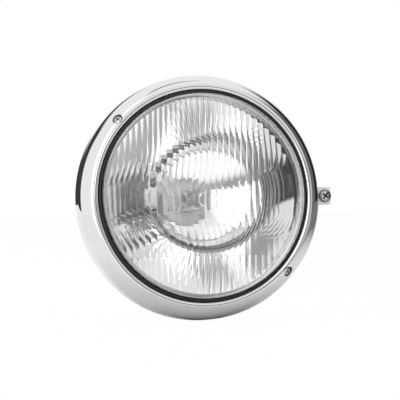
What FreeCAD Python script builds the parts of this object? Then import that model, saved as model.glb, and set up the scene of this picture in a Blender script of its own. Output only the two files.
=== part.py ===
import FreeCAD, Part
import math
import os
import Sketcher

os.makedirs("parts", exist_ok=True)
doc = FreeCAD.newDocument("headlight")
V = FreeCAD.Vector

# Driving sizes in millimetres and degrees. Depths run back from the rim's front.
sheet = doc.addObject("Spreadsheet::Sheet", "Sizes")


class Size:
    """A number together with the sheet formula that gives it."""

    def __init__(self, value, text):
        self.value = float(value)
        self.text = text

    def _join(self, other, sign, value):
        return Size(value, "(%s %s %s)" % (self.text, sign, formula(other)))

    def __add__(self, other):
        return self._join(other, "+", self.value + number(other))

    def __sub__(self, other):
        return self._join(other, "-", self.value - number(other))

    def __mul__(self, other):
        return self._join(other, "*", self.value * number(other))

    def __truediv__(self, other):
        return self._join(other, "/", self.value / number(other))

    def __neg__(self):
        return Size(-self.value, "(0 - %s)" % self.text)

    def __radd__(self, other):
        return Size(other, repr(other)) + self

    def __rsub__(self, other):
        return Size(other, repr(other)) - self

    def __rmul__(self, other):
        return Size(other, repr(other)) * self


def number(item):
    return item.value if isinstance(item, Size) else float(item)


def formula(item):
    return item.text if isinstance(item, Size) else repr(item)


def root(item):
    return Size(math.sqrt(number(item)), "sqrt(%s)" % formula(item))


def sine(item):
    return Size(math.sin(math.radians(number(item))), "sin(%s)" % formula(item))


def cosine(item):
    return Size(math.cos(math.radians(number(item))), "cos(%s)" % formula(item))


rows = []


def size(name, value):
    rows.append(name)
    cell = "B%d" % len(rows)
    sheet.set("A%d" % len(rows), name)
    sheet.set(cell, repr(value))
    sheet.setAlias(cell, name)
    return Size(value, "Sizes." + name)


fit_gap = size("fit_gap", 0.3)

opening_radius = size("opening_radius", 81.0)
rim_width = size("rim_width", 13.0)
rim_depth = size("rim_depth", 30.0)
rim_wall = size("rim_wall", 1.2)
rim_lip_radius = size("rim_lip_radius", 2.5)
rim_lip_depth = size("rim_lip_depth", 2.8)
rim_nose_radius = size("rim_nose_radius", 6.0)
rim_widest_depth = size("rim_widest_depth", 18.0)
drain_width = size("drain_width", 8.0)
drain_depth = size("drain_depth", 2.5)

screw_angle = size("screw_angle", 137.5)
screw_tilt = size("screw_tilt", 40.0)
screw_seat_angle = size("screw_seat_angle", 47.0)
screw_sink = size("screw_sink", 1.4)
screw_head_radius = size("screw_head_radius", 3.1)
screw_head_rise = size("screw_head_rise", 0.8)
screw_head_margin = size("screw_head_margin", 1.0)
screw_radius = size("screw_radius", 2.0)
screw_length = size("screw_length", 6.0)
recess_width = size("recess_width", 0.9)
recess_span = size("recess_span", 3.6)
recess_depth = size("recess_depth", 1.2)

frame_wall = size("frame_wall", 1.5)
frame_front_depth = size("frame_front_depth", 9.3)
frame_lap = size("frame_lap", 3.2)
frame_inset = size("frame_inset", 3.5)
frame_back_gap = size("frame_back_gap", 2.0)
lug_width = size("lug_width", 9.0)
lug_drop = size("lug_drop", 4.3)
lug_collar = size("lug_collar", 1.0)
lug_rim = size("lug_rim", 1.1)
lug_sink = size("lug_sink", 0.975)
ear_reach = size("ear_reach", 13.0)
ear_width = size("ear_width", 14.0)
ear_corner = size("ear_corner", 2.5)
hook_width = size("hook_width", 16.0)
hook_reach = size("hook_reach", 6.0)
hook_lip = size("hook_lip", 3.4)

fixing_reach = size("fixing_reach", 8.0)
fixing_radius = size("fixing_radius", 2.5)
fixing_neck = size("fixing_neck", 2.1)
fixing_head_radius = size("fixing_head_radius", 4.8)
fixing_head_height = size("fixing_head_height", 3.6)
fixing_length = size("fixing_length", 18.0)
fixing_recess_width = size("fixing_recess_width", 1.3)
fixing_recess_span = size("fixing_recess_span", 5.6)
fixing_recess_depth = size("fixing_recess_depth", 2.2)
fixing_recess_turn = size("fixing_recess_turn", 35.0)
fixing_crown = size("fixing_crown", 1.6)
retainer_radius = size("retainer_radius", 5.0)
retainer_thickness = size("retainer_thickness", 1.4)

gasket_gap = size("gasket_gap", 2.5)
gasket_thickness = size("gasket_thickness", 1.2)
gasket_front_depth = size("gasket_front_depth", 0.6)
bead_flatness = size("bead_flatness", 1.25)
lens_dome_radius = size("lens_dome_radius", 260.0)
lens_proud = size("lens_proud", 2.5)
lens_edge_radius = size("lens_edge_radius", 1.5)
lens_wall = size("lens_wall", 4.0)
lens_flange_width = size("lens_flange_width", 5.5)
lens_flange_thickness = size("lens_flange_thickness", 4.0)
flute_pitch = size("flute_pitch", 4.5)
flute_radius = size("flute_radius", 9.0)
flute_root = size("flute_root", 1.5)
flute_arc = size("flute_arc", 40.0)
upper_field_bottom = size("upper_field_bottom", -12.0)
side_field_bottom = size("side_field_bottom", 10.0)
side_field_start = size("side_field_start", 13.5)
side_field_end = size("side_field_end", 40.5)
sector_start = size("sector_start", 14.0)
sector_angle = size("sector_angle", 20.0)
lower_field_top = size("lower_field_top", -46.0)

seal_thickness = size("seal_thickness", 1.0)
reflector_wall = size("reflector_wall", 1.0)
reflector_back = size("reflector_back", 1.6)
reflector_focus = size("reflector_focus", 28.0)
reflector_hole = size("reflector_hole", 19.0)
reflector_flange_width = size("reflector_flange_width", 5.0)
clip_wire = size("clip_wire", 0.8)
clip_half_angle = size("clip_half_angle", 9.0)
clip_neck_share = size("clip_neck_share", 0.9)
clip_nose_share = size("clip_nose_share", 0.4)
clip_setback = size("clip_setback", 3.0)
clip_first_angle = size("clip_first_angle", 45.0)
clip_count = 4

collar_wall = size("collar_wall", 1.2)
collar_radius = size("collar_radius", 30.5)
collar_back = size("collar_back", 6.0)
filament_reach = size("filament_reach", 29.5)
bulb_flange_radius = size("bulb_flange_radius", 21.5)
bulb_flange_thickness = size("bulb_flange_thickness", 1.5)
bulb_lug_reach = size("bulb_lug_reach", 2.0)
bulb_lug_gap = size("bulb_lug_gap", 22.0)
bulb_lug_turn = size("bulb_lug_turn", 30.0)
bulb_lug_count = 3
bulb_sleeve_radius = size("bulb_sleeve_radius", 11.0)
bulb_sleeve_length = size("bulb_sleeve_length", 9.0)
bulb_radius = size("bulb_radius", 8.5)
bulb_glass_wall = size("bulb_glass_wall", 1.0)
bulb_reach = size("bulb_reach", 43.0)
insulator_radius = size("insulator_radius", 14.0)
insulator_length = size("insulator_length", 17.0)
insulator_step = size("insulator_step", 11.9)
blade_width = size("blade_width", 8.0)
blade_thickness = size("blade_thickness", 0.8)
blade_length = size("blade_length", 11.0)
blade_offset = size("blade_offset", 8.0)
filament_radius = size("filament_radius", 0.7)
filament_length = size("filament_length", 5.0)
filament_spacing = size("filament_spacing", 3.5)
support_wire = size("support_wire", 0.5)
shield_radius = size("shield_radius", 4.2)
shield_wall = size("shield_wall", 0.4)
shield_length = size("shield_length", 9.0)
bulb_clip_wire = size("bulb_clip_wire", 0.8)
bulb_clip_waist = size("bulb_clip_waist", 17.5)
bulb_clip_elbow = size("bulb_clip_elbow", 10.5)
clip_edge_gap = size("clip_edge_gap", 0.25)
bulb_clip_end = size("bulb_clip_end", 5.0)
catch_wall = size("catch_wall", 1.0)
catch_lap = size("catch_lap", 1.5)
clip_screw_radius = size("clip_screw_radius", 1.25)
clip_screw_head = size("clip_screw_head", 2.7)
clip_screw_height = size("clip_screw_height", 1.8)
clip_screw_length = size("clip_screw_length", 6.0)
boot_wall = size("boot_wall", 2.2)
boot_grip = size("boot_grip", 2.0)
boot_taper = size("boot_taper", 9.0)
boot_bead = size("boot_bead", 1.4)

doc.recompute()

# Sizes that follow from the driving ones.
rim_radius = opening_radius + rim_width
nose_centre = opening_radius + rim_lip_radius
face_width = rim_radius - nose_centre
shoulder_radius = (face_width * face_width + rim_widest_depth * rim_widest_depth
                   - 2.0 * rim_widest_depth * rim_nose_radius) / (2.0 * (face_width - rim_nose_radius))
shoulder_x = rim_radius - shoulder_radius
screw_x = nose_centre + rim_nose_radius * sine(screw_seat_angle)
screw_y = rim_nose_radius - rim_nose_radius * cosine(screw_seat_angle)

lens_neck = opening_radius - gasket_gap
lens_flange_radius = lens_neck + lens_flange_width
bowl_radius = lens_flange_radius - reflector_flange_width
gasket_foot_depth = frame_front_depth + frame_wall
lens_flange_depth = gasket_foot_depth + gasket_thickness
lens_back_depth = lens_flange_depth + lens_flange_thickness
lens_inner_neck = lens_neck - lens_wall
dome_edge = lens_neck - lens_edge_radius
dome_centre = root(lens_dome_radius * lens_dome_radius - dome_edge * dome_edge) - lens_proud
inner_dome = lens_dome_radius - lens_wall
reflector_front_depth = lens_back_depth + seal_thickness
reflector_flange_back = reflector_front_depth + reflector_wall
vertex_depth = reflector_front_depth + bowl_radius * bowl_radius / (4.0 * reflector_focus)
focus_depth = vertex_depth - reflector_focus
bulb_seat_depth = focus_depth + filament_reach
frame_back_depth = rim_depth - frame_back_gap
frame_outer = rim_radius - frame_inset
frame_inner = frame_outer - frame_wall
rim_inside = rim_radius - rim_wall
ear_depth = frame_back_depth - frame_wall
clip_depth = ear_depth - clip_setback
fixing_x = rim_radius + fixing_reach


# Drawing helpers.
def bind(item, path, source):
    item.setExpression(path, formula(source))


def place(item, x=0.0, y=0.0, z=0.0):
    """Put a piece at depth y behind the rim's front."""
    for axis, source in (("x", x), ("y", y - rim_depth), ("z", z)):
        bind(item, "Placement.Base." + axis, source)


def turn(item, axis, angle):
    item.Placement = FreeCAD.Placement(item.Placement.Base, FreeCAD.Rotation(axis, number(angle)))
    bind(item, "Placement.Rotation.Angle", angle)


def arc_centre(start, end, radius, side):
    middle = (start + end) * 0.5
    along = end - start
    rise = math.sqrt(max(radius * radius - along.Length ** 2 / 4.0, 0.0))
    across = V(-along.y, along.x, 0).normalize()
    return middle + across * (rise * side)


def draw(sketch, outline):
    """Draw a closed outline of points (x, y) or arc ends (x, y, radius, side of its centre)."""
    corners = [V(number(step[0]), number(step[1]), 0) for step in outline]
    first = sketch.GeometryCount
    ends = []
    for index, step in enumerate(outline):
        start = corners[index - 1]
        end = corners[index]
        if len(step) == 2:
            sketch.addGeometry(Part.LineSegment(start, end), False)
            ends.append((1, 2))
            continue
        radius = number(step[2])
        centre = arc_centre(start, end, radius, step[3])
        circle = Part.Circle(centre, V(0, 0, 1), radius)
        angles = [math.atan2(p.y - centre.y, p.x - centre.x) for p in (start, end)]
        if step[3] < 0:
            angles.reverse()
        sketch.addGeometry(Part.ArcOfCircle(circle, angles[0], angles[1]), False)
        ends.append((1, 2) if step[3] > 0 else (2, 1))
    rules = []
    sources = []
    for index, step in enumerate(outline):
        edge = first + index
        after = first + (index + 1) % len(outline)
        rules.append(Sketcher.Constraint("Coincident", edge, ends[index][1],
                                         after, ends[(index + 1) % len(outline)][0]))
        sources.append(None)
        for kind, source, line in (("DistanceX", step[0], -2), ("DistanceY", step[1], -1)):
            if number(source) == 0.0:
                rules.append(Sketcher.Constraint("PointOnObject", edge, ends[index][1], line))
                sources.append(None)
            else:
                rules.append(Sketcher.Constraint(kind, -1, 1, edge, ends[index][1], number(source)))
                sources.append(source)
        if len(step) > 2:
            rules.append(Sketcher.Constraint("Radius", edge, number(step[2])))
            sources.append(step[2])
    offset = sketch.ConstraintCount
    sketch.addConstraint(rules)
    for index, source in enumerate(sources):
        if isinstance(source, Size):
            bind(sketch, "Constraints[%d]" % (offset + index), source)


def plane_of(body, role):
    return [item for item in body.Origin.OriginFeatures if item.Role == role][0]


def new_body(name):
    body = doc.addObject("PartDesign::Body", name)
    body.Label = name
    return body


def sketch_on(body, role, outline):
    sketch = body.newObject("Sketcher::SketchObject", body.Name + "_outline")
    sketch.AttachmentSupport = [(plane_of(body, role), "")]
    sketch.MapMode = "FlatFace"
    draw(sketch, outline)
    return sketch


def lathe(name, *outlines):
    """Turn one or more closed outlines (radius, depth) about the lamp's axis."""
    body = new_body(name)
    for outline in outlines:
        sketch = sketch_on(body, "XY_Plane", outline)
        turned = body.newObject("PartDesign::Revolution", name + "_turned")
        turned.Profile = sketch
        turned.ReferenceAxis = (sketch, ["V_Axis"])
        turned.Angle = 360.0
        sketch.Visibility = False
    doc.recompute()
    return body


def slab(name, x, y, z, place_at=True):
    """A box given by its lower and upper bounds on each axis."""
    box = doc.addObject("Part::Box", name)
    for prop, (low, high) in (("Length", x), ("Width", y), ("Height", z)):
        bind(box, prop, high - low)
    if place_at:
        place(box, x[0], y[0], z[0])
    else:
        for axis, (low, high) in (("x", x), ("y", y), ("z", z)):
            bind(box, "Placement.Base." + axis, low)
    return box


def rod(name, radius, length):
    item = doc.addObject("Part::Cylinder", name)
    bind(item, "Radius", radius)
    bind(item, "Height", length)
    return item


def join(name, *pieces):
    item = doc.addObject("Part::MultiFuse", name)
    item.Shapes = list(pieces)
    item.Refine = True
    doc.recompute()
    return item


def cut(name, base, *tools):
    tool = tools[0] if len(tools) == 1 else join(name + "_tools", *tools)
    item = doc.addObject("Part::Cut", name)
    item.Base = base
    item.Tool = tool
    item.Refine = True
    doc.recompute()
    return item


def common(name, first, second):
    item = doc.addObject("Part::Common", name)
    item.Base = first
    item.Tool = second
    doc.recompute()
    return item


def group(name, *pieces):
    item = doc.addObject("Part::Compound", name)
    item.Links = list(pieces)
    return item


def pair_of(name, piece):
    """A piece and its mirror image on the lamp's other side, turned to the screws' angle."""
    twin = doc.addObject("Part::Mirroring", name + "_twin")
    twin.Source = piece
    twin.Normal = V(1, 0, 0)
    both = group(name, piece, twin)
    turn(both, V(0, -1, 0), screw_angle)
    doc.recompute()
    return both


def at_rim_screw(piece):
    """Stand a piece drawn along its own Y on the rim's face at a screw."""
    turn(piece, V(0, 0, 1), screw_tilt)
    place(piece, screw_x, screw_y)
    return piece


def cross_recess(name, width, span, depth, top):
    """Two crossed slots cut to a depth below the top of a head that faces -Y."""
    bars = []
    for index, (x, z) in enumerate(((width, span), (span, width))):
        bars.append(slab("%s_%d" % (name, index), (-x / 2.0, x / 2.0), (top - depth, top + depth),
                         (-z / 2.0, z / 2.0), False))
    return join(name, *bars)


def bent_wire(name, corners, radius):
    """A round wire through corners given as (x, depth, z)."""
    points = [V(number(x), number(y - rim_depth), number(z)) for x, y, z in corners]
    spine = Part.makePolygon(points)
    along = (points[1] - points[0]).normalize()
    ring = Part.Wire(Part.makeCircle(number(radius), points[0], along))
    sweep = Part.BRepOffsetAPI.MakePipeShell(spine)
    sweep.setTransitionMode(2)
    sweep.add(ring, False, True)
    sweep.build()
    sweep.makeSolid()
    item = doc.addObject("Part::Feature", name)
    item.Shape = sweep.shape()
    return item


def polar(radius, angle, depth):
    turned = math.radians(angle)
    return (radius * math.cos(turned), depth, radius * math.sin(turned))


def rod_along_y(name, radius, length, x, y, z=0.0):
    item = rod(name, radius, length)
    turn(item, V(1, 0, 0), -90.0)
    place(item, x, y, z)
    return item


def plate(name, thickness, *outlines):
    """Flat outlines (x, z) thickened forwards from the plane they are placed in."""
    body = new_body(name)
    for outline in outlines:
        sketch = sketch_on(body, "XZ_Plane", outline)
        pad = body.newObject("PartDesign::Pad", name + "_pad")
        pad.Profile = sketch
        bind(pad, "Length", thickness)
        sketch.Visibility = False
    doc.recompute()
    return body


# Rim: one pressed sheet with a rolled lip, a rounded face and a straight skirt.
def face_outline(inset):
    """The rim's section from lip to skirt, at a distance inside its outer face."""
    spread = shoulder_radius - rim_nose_radius
    join_x = nose_centre + (rim_nose_radius - inset) * (nose_centre - shoulder_x) / spread
    join_y = rim_nose_radius - (rim_nose_radius - inset) * (rim_widest_depth - rim_nose_radius) / spread
    return [
        (opening_radius + inset, rim_lip_depth),
        (opening_radius + inset, rim_lip_radius),
        (nose_centre, inset, rim_lip_radius - inset, 1),
        (join_x, join_y, rim_nose_radius - inset, 1),
        (rim_radius - inset, rim_widest_depth, shoulder_radius - inset, 1),
        (rim_radius - inset, rim_depth),
    ]


def backwards(outline):
    """The same outline drawn from its end to its start."""
    steps = []
    for index in range(len(outline) - 1, -1, -1):
        arc = outline[index + 1][2:] if index + 1 < len(outline) else ()
        steps.append(outline[index][:2] + ((arc[0], -arc[1]) if arc else ()))
    return steps


outer_face = face_outline(0.0)
rim_shell = lathe("rim_shell", outer_face + backwards(face_outline(rim_wall)))
place(rim_shell)
rim_envelope = lathe("rim_envelope", outer_face + [(opening_radius, rim_depth)])
place(rim_envelope)

seat_radius = screw_head_radius + screw_head_margin
seat_cone = screw_head_radius + fit_gap
seat_hole = screw_radius + fit_gap
seat_floor = screw_sink + seat_cone - seat_hole
seat_wall = lathe("seat_wall", [
    (0.0, screw_sink), (seat_radius + rim_wall, screw_sink),
    (seat_cone + rim_wall, seat_floor), (0.0, seat_floor)])
at_rim_screw(seat_wall)
seat_walls = common("seat_walls_trimmed", rim_envelope, pair_of("seat_walls", seat_wall))
seat_cutter = lathe("seat_cutter", [
    (0.0, -rim_nose_radius), (seat_radius, -rim_nose_radius), (seat_radius, screw_sink),
    (seat_cone, screw_sink), (seat_hole, seat_floor),
    (seat_hole, seat_floor + rim_wall), (0.0, seat_floor + rim_wall)])
at_rim_screw(seat_cutter)
half_notch = ear_width / 2.0 + fit_gap
ear_notch = slab("ear_notch", (rim_inside - rim_wall, rim_radius + rim_wall),
                 (ear_depth - fit_gap, rim_depth + rim_wall), (-half_notch, half_notch))
drain_notch = slab("drain_notch", (-drain_width / 2.0, drain_width / 2.0),
                   (rim_depth - drain_depth, rim_depth + rim_wall),
                   (-rim_radius - rim_wall, -rim_inside + rim_wall))
rim = cut("rim", join("rim_pressing", rim_shell, seat_walls),
          pair_of("seat_cutters", seat_cutter), ear_notch, drain_notch)

# Rim screws: raised countersunk heads with a cross recess.
head_top = screw_sink - screw_head_rise
crown = (screw_head_radius * screw_head_radius + screw_head_rise * screw_head_rise) / (2.0 * screw_head_rise)
screw_tip = screw_sink + screw_length
screw_point = screw_radius / 3.0
rim_screw_blank = lathe("rim_screw_blank", [
    (0.0, head_top), (screw_head_radius, screw_sink, crown, 1),
    (screw_radius, screw_sink + screw_head_radius - screw_radius),
    (screw_radius, screw_tip - screw_point), (screw_radius - screw_point, screw_tip), (0.0, screw_tip)])
rim_screw = cut("rim_screw", rim_screw_blank,
                cross_recess("rim_screw_recess", recess_width, recess_span, recess_depth, head_top))
at_rim_screw(rim_screw)
rim_screws = pair_of("rim_screws", rim_screw)

# Frame ring: seats the lens unit, takes the rim screws and carries the ear and the hook.
frame_seat = lens_flange_radius - frame_lap
frame_flange = rim_inside - fit_gap
frame_shell = lathe("frame_shell", [
    (frame_seat, frame_front_depth), (frame_outer, frame_front_depth), (frame_outer, ear_depth),
    (frame_flange, ear_depth), (frame_flange, frame_back_depth), (frame_inner, frame_back_depth),
    (frame_inner, gasket_foot_depth), (frame_seat, gasket_foot_depth)])
place(frame_shell)
lug_back = lug_drop + frame_wall
lug_end = frame_front_depth + lug_sink
lug_arm = (lug_end - screw_y - lug_back * cosine(screw_tilt)) / sine(screw_tilt)
lug_rim_radius = seat_hole + lug_rim
lug_strip = slab("lug_strip", (-lug_rim_radius, lug_arm), (lug_drop, lug_back),
                 (-lug_width / 2.0, lug_width / 2.0), False)
lug_boss = lathe("lug_boss", [
    (0.0, lug_drop), (lug_rim_radius, lug_drop),
    (lug_rim_radius, lug_back + lug_collar), (0.0, lug_back + lug_collar)])
lug_hole = lathe("lug_hole", [
    (0.0, lug_drop - frame_wall), (seat_hole, lug_drop - frame_wall),
    (seat_hole, lug_back + frame_wall), (0.0, lug_back + frame_wall)])
lug = cut("lug", join("lug_solid", lug_strip, lug_boss), lug_hole)
at_rim_screw(lug)
lugs = pair_of("lugs", lug)
ear_end = rim_radius + ear_reach
ear_half = ear_width / 2.0
ear_start = frame_inner + frame_wall / 2.0
ear = plate("ear", frame_wall, [
    (ear_start, -ear_half), (ear_end - ear_corner, -ear_half),
    (ear_end, -ear_half + ear_corner, ear_corner, 1), (ear_end, ear_half - ear_corner),
    (ear_end - ear_corner, ear_half, ear_corner, 1), (ear_start, ear_half)])
place(ear, 0.0, frame_back_depth)
hook_half = hook_width / 2.0
hook_back = rim_depth + hook_reach
hook_outer = frame_inner + hook_lip
hook_ring = lathe("hook_ring", [
    (frame_inner, ear_depth), (frame_outer, ear_depth), (frame_outer, hook_back - frame_wall),
    (hook_outer, hook_back - frame_wall), (hook_outer, hook_back), (frame_inner, hook_back)])
place(hook_ring)
hook_width_box = slab("hook_width_box", (-rim_radius, -frame_inner / 2.0),
                      (ear_depth - frame_wall, hook_back + frame_wall), (-hook_half, hook_half))
hook = common("hook", hook_ring, hook_width_box)
ear_hole = rod_along_y("ear_hole", fixing_radius + fit_gap, frame_wall * 3.0,
                       fixing_x, ear_depth - frame_wall)
slots = []
for clip in range(clip_count):
    for side in (-1.0, 1.0):
        angle = clip_first_angle + 360.0 * clip / clip_count + side * clip_half_angle
        slot = rod("slot_%d" % len(slots), clip_wire * 2.0, frame_wall * 5.0)
        turn(slot, V(0, 1, 0), 90.0 - angle)
        start = frame_inner - frame_wall * 2.0
        place(slot, start * cosine(angle), clip_depth, start * sine(angle))
        slots.append(slot)
frame_ring = cut("frame_ring", join("frame_pressing", frame_shell, lugs, ear, hook), ear_hole, *slots)

# Fixing screw in the ear and the washer that keeps it there.
fixing_dome = (fixing_head_radius * fixing_head_radius + fixing_crown * fixing_crown) / (2.0 * fixing_crown)
fixing_tip = fixing_head_height + fixing_length
fixing_point = fixing_radius / 3.0
neck_end = fixing_head_height + frame_wall + retainer_thickness + fit_gap
fixing_blank = lathe("fixing_blank", [
    (0.0, 0.0), (fixing_head_radius, fixing_crown, fixing_dome, 1), (fixing_head_radius, fixing_head_height),
    (fixing_neck, fixing_head_height), (fixing_neck, neck_end),
    (fixing_radius, neck_end + fixing_radius - fixing_neck), (fixing_radius, fixing_tip - fixing_point),
    (fixing_radius - fixing_point, fixing_tip), (0.0, fixing_tip)])
fixing_recess = cross_recess("fixing_recess", fixing_recess_width, fixing_recess_span,
                             fixing_recess_depth, 0.0)
turn(fixing_recess, V(0, 1, 0), fixing_recess_turn)
fixing_screw = cut("fixing_screw", fixing_blank, fixing_recess)
place(fixing_screw, fixing_x, ear_depth - fixing_head_height)
fixing_retainer = lathe("fixing_retainer", [
    (fixing_neck + fit_gap, 0.0), (retainer_radius, 0.0), (retainer_radius, retainer_thickness),
    (fixing_neck + fit_gap, retainer_thickness)])
place(fixing_retainer, fixing_x, frame_back_depth)

# Gasket: a bead in front of the lens's neck and a foot under the frame ring.
gasket_inner = lens_neck + fit_gap
gasket_bead = (gasket_gap - 2.0 * fit_gap) / 2.0
bead_depth = gasket_front_depth + gasket_bead
gasket_outer = gasket_inner + 2.0 * gasket_bead
gasket_stem = gasket_outer - fit_gap
lens_gasket = lathe("lens_gasket", [
    (gasket_inner, bead_depth), (gasket_outer, bead_depth, gasket_bead * bead_flatness, 1),
    (gasket_outer, rim_lip_depth), (gasket_stem, rim_lip_depth + fit_gap), (gasket_stem, gasket_foot_depth),
    (lens_flange_radius, gasket_foot_depth), (lens_flange_radius, lens_flange_depth),
    (gasket_inner, lens_flange_depth)])
place(lens_gasket)

# Lens: a domed glass on a straight neck with a flange, fluted inside.
def inner_depth(x, extra=0.0):
    """Depth of the dome's inner face, or a little inside the glass, at a distance x from the axis."""
    reach = inner_dome + extra
    return dome_centre - root(reach * reach - x * x)


lens_shell = lathe("lens_shell", [
    (0.0, dome_centre - lens_dome_radius), (dome_edge, -lens_proud, lens_dome_radius, 1),
    (lens_neck, lens_edge_radius - lens_proud, lens_edge_radius, 1), (lens_neck, lens_flange_depth),
    (lens_flange_radius, lens_flange_depth), (lens_flange_radius, lens_back_depth),
    (lens_inner_neck, lens_back_depth), (lens_inner_neck, inner_depth(lens_inner_neck)),
    (0.0, dome_centre - inner_dome, inner_dome, -1)])
place(lens_shell)
flute_count = int(2.0 * number(lens_inner_neck) / number(flute_pitch))
flute_edges = [flute_pitch * (index - flute_count / 2.0) for index in range(flute_count + 1)]
first_edge = flute_edges[0]
last_edge = flute_edges[-1]
flute_steps = [(first_edge, inner_depth(first_edge))]
flute_steps += [(edge, inner_depth(edge), flute_radius, -1) for edge in flute_edges[1:]]
flute_steps += [(last_edge, inner_depth(last_edge, flute_root)),
                (first_edge, inner_depth(first_edge, flute_root), inner_dome + flute_root, -1)]
flute_outline = doc.addObject("Sketcher::SketchObject", "flute_outline")
draw(flute_outline, flute_steps)
doc.recompute()
flute_sweep = doc.addObject("Part::Revolution", "flute_sweep")
flute_sweep.Source = flute_outline
flute_sweep.Axis = V(1, 0, 0)
bind(flute_sweep, "Base.y", dome_centre)
bind(flute_sweep, "Angle", flute_arc)
flute_sweep.Symmetric = True
flute_sweep.Solid = True
place(flute_sweep)
field_radius = lens_inner_neck + flute_root
upper_edge = root(field_radius * field_radius - upper_field_bottom * upper_field_bottom)
lower_edge = root(field_radius * field_radius - lower_field_top * lower_field_top)
flute_fields = plate("flute_fields", lens_flange_depth + lens_dome_radius / 8.0, [
    (-upper_edge, upper_field_bottom, field_radius, 1), (side_field_start, upper_field_bottom),
    (side_field_start, side_field_bottom), (side_field_end, side_field_bottom),
    (side_field_end, sector_start),
    (field_radius * cosine(sector_angle), field_radius * sine(sector_angle))],
    [(-lower_edge, lower_field_top), (lower_edge, lower_field_top, field_radius, 1)])
place(flute_fields, 0.0, lens_flange_depth)
lens = join("lens", lens_shell, common("flutes", flute_sweep, flute_fields))

# Seal between the glass and the reflector.
lens_seal = lathe("lens_seal", [
    (bowl_radius + fit_gap, lens_back_depth), (lens_flange_radius - fit_gap, lens_back_depth),
    (lens_flange_radius - fit_gap, reflector_front_depth), (bowl_radius + fit_gap, reflector_front_depth)])
place(lens_seal)


# Reflector: a parabolic bowl with a flange and a round hole for the bulb's collar.
def bowl_depth(radius, shift=0.0):
    return vertex_depth + shift - radius * radius / (4.0 * reflector_focus)


def bowl_arc(start, end, shift=0.0):
    """The parabola between two radii, as the curve of its end points and their tangents' crossing."""
    crossing = vertex_depth + shift - start * end / (4.0 * reflector_focus)
    poles = [(start, bowl_depth(start, shift)), ((start + end) / 2.0, crossing),
             (end, bowl_depth(end, shift))]
    curve = Part.BezierCurve()
    curve.setPoles([V(number(x), number(y - rim_depth), 0) for x, y in poles])
    return curve.toShape()


bowl_back_edge = root(4.0 * reflector_focus * (vertex_depth + reflector_back - reflector_flange_back))
mirror_arc = bowl_arc(reflector_hole, bowl_radius)
back_arc = bowl_arc(reflector_hole, bowl_back_edge, reflector_back)
flange_corners = [V(number(lens_flange_radius), number(depth - rim_depth), 0)
                  for depth in (reflector_front_depth, reflector_flange_back)]
bowl_edges = [mirror_arc, back_arc,
              Part.makeLine(mirror_arc.Vertexes[0].Point, back_arc.Vertexes[0].Point),
              Part.makeLine(mirror_arc.Vertexes[1].Point, flange_corners[0]),
              Part.makeLine(flange_corners[0], flange_corners[1]),
              Part.makeLine(flange_corners[1], back_arc.Vertexes[1].Point)]
bowl_section = Part.Face(Part.Wire(Part.__sortEdges__(bowl_edges)))
reflector = doc.addObject("Part::Feature", "reflector")
reflector.Shape = bowl_section.revolve(V(0, 0, 0), V(0, 1, 0), 360)

# Spring wires that press the reflector's flange forwards.
clips = []
for clip in range(clip_count):
    middle = number(clip_first_angle) + 360.0 * clip / clip_count
    press_depth = reflector_flange_back + clip_wire + fit_gap / 3.0
    half = []
    for side in (-1.0, 1.0):
        spread = side * number(clip_half_angle)
        half.append([polar(frame_outer + clip_wire, middle + spread, clip_depth),
                     polar(frame_inner - frame_wall * 2.0, middle + spread * number(clip_neck_share),
                           clip_depth),
                     polar(lens_flange_radius - clip_wire * 2.0, middle + spread * number(clip_nose_share),
                           press_depth)])
    clips.append(bent_wire("retaining_clip_%d" % clip, half[0] + half[1][::-1], clip_wire))
retaining_clips = group("retaining_clips", *clips)

# Collar: a pressed cup on the back of the bowl that seats the bulb and takes the boot.
sleeve_outer = reflector_hole - fit_gap
sleeve_inner = sleeve_outer - collar_wall
collar_inner = collar_radius - collar_wall
collar_front = bowl_depth(collar_inner, reflector_back) + fit_gap
collar_end = bulb_seat_depth + collar_back
collar_cup = lathe("collar_cup", [
    (sleeve_inner, bowl_depth(reflector_hole)), (sleeve_outer, bowl_depth(reflector_hole)),
    (sleeve_outer, bulb_seat_depth - collar_wall), (collar_inner, bulb_seat_depth - collar_wall),
    (collar_inner, collar_front), (collar_radius, collar_front), (collar_radius, collar_end),
    (collar_inner, collar_end), (collar_inner, bulb_seat_depth), (sleeve_inner, bulb_seat_depth)])
place(collar_cup)
flange_back = bulb_seat_depth + bulb_flange_thickness
clip_plane = flange_back + bulb_clip_wire + fit_gap / 3.0
catch_roof = clip_plane + bulb_clip_wire + fit_gap
catch_half = bulb_clip_end + bulb_clip_wire * 2.0
clip_screw_x = -(collar_inner - clip_edge_gap - clip_screw_head)
bulb_clip_foot = -clip_screw_x - clip_screw_radius - bulb_clip_wire - fit_gap
catch_start = bulb_clip_foot + bulb_clip_wire + fit_gap
catch_post = slab("catch_post", (catch_start, catch_start + catch_wall),
                  (bulb_seat_depth - collar_wall / 2.0, catch_roof + catch_wall), (-catch_half, catch_half))
catch_hood = slab("catch_hood", (catch_start - bulb_clip_wire - catch_lap, catch_start + catch_wall),
                  (catch_roof, catch_roof + catch_wall), (-catch_half, catch_half))
clip_screw_hole = rod_along_y("clip_screw_hole", clip_screw_radius + fit_gap, collar_wall * 3.0,
                              clip_screw_x, bulb_seat_depth - collar_wall * 2.0)
bulb_collar = cut("bulb_collar", join("collar_pressing", collar_cup, catch_post, catch_hood), clip_screw_hole)

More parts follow.
